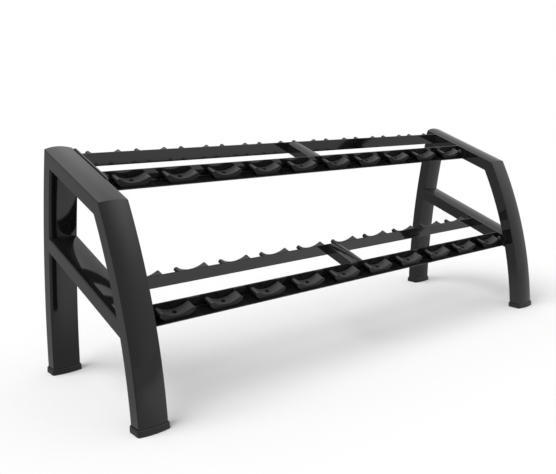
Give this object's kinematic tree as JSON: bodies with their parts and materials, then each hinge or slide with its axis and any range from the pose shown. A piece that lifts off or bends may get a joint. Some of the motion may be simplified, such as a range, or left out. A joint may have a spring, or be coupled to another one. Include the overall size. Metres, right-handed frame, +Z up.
{
  "type": "dumbbell rack",
  "caption": "Free-standing two-tier dumbbell rack: arched crowned-tube end frames carry two sloping angle-rail trays with moulded saddles for the dumbbells' heads.",
  "frame": {"origin": "on the floor, under the middle of the rack's bounding box", "axes": "+X along the rack to the right as seen from the front, +Y to the back, +Z up"},
  "size_m": [2.412, 0.783, 0.93],
  "materials": {
    "frame_paint": "semi-gloss black powder coat",
    "tray_paint": "semi-gloss black powder coat",
    "saddle_plastic": "moulded, fine grain, satin",
    "boot_rubber": "moulded, matt",
    "black_screws": "black oxide",
    "plated_steel": "zinc plated"
  },
  "bodies": {
    "root": {"left_rear_leg": "frame_paint", "left_top_tube": "frame_paint", "left_front_leg": "frame_paint", "left_mid_tube": "frame_paint", "left_rear_boot": "boot_rubber", "left_front_boot": "boot_rubber", "right_rear_leg": "frame_paint", "right_top_tube": "frame_paint", "right_front_leg": "frame_paint", "right_mid_tube": "frame_paint", "right_rear_boot": "boot_rubber", "right_front_boot": "boot_rubber", "upper_front_rail": "tray_paint", "upper_rear_rail": "tray_paint", "upper_centre_beam": "tray_paint", "upper_left_end_plate": "tray_paint", "upper_right_end_plate": "tray_paint", "lower_front_rail": "tray_paint", "lower_rear_rail": "tray_paint", "lower_centre_beam": "tray_paint", "lower_left_end_plate": "tray_paint", "lower_right_end_plate": "tray_paint", "upper_saddle_pair_01": "saddle_plastic", "upper_saddle_pair_02": "saddle_plastic", "upper_saddle_pair_03": "saddle_plastic", "upper_saddle_pair_04": "saddle_plastic", "upper_saddle_pair_05": "saddle_plastic", "upper_saddle_pair_06": "saddle_plastic", "upper_saddle_pair_07": "saddle_plastic", "upper_saddle_pair_08": "saddle_plastic", "upper_saddle_pair_09": "saddle_plastic", "upper_saddle_pair_10": "saddle_plastic", "lower_saddle_pair_01": "saddle_plastic", "lower_saddle_pair_02": "saddle_plastic", "lower_saddle_pair_03": "saddle_plastic", "lower_saddle_pair_04": "saddle_plastic", "lower_saddle_pair_05": "saddle_plastic", "lower_saddle_pair_06": "saddle_plastic", "lower_saddle_pair_07": "saddle_plastic", "lower_saddle_pair_08": "saddle_plastic", "lower_saddle_pair_09": "saddle_plastic", "lower_saddle_pair_10": "saddle_plastic", "tray_bolts": "black_screws", "saddle_screws": "black_screws", "tray_bolt_washers": "plated_steel", "tube_weld_nuts": "plated_steel", "saddle_washers": "plated_steel", "saddle_nuts": "plated_steel"}
  },
  "joints": []
}
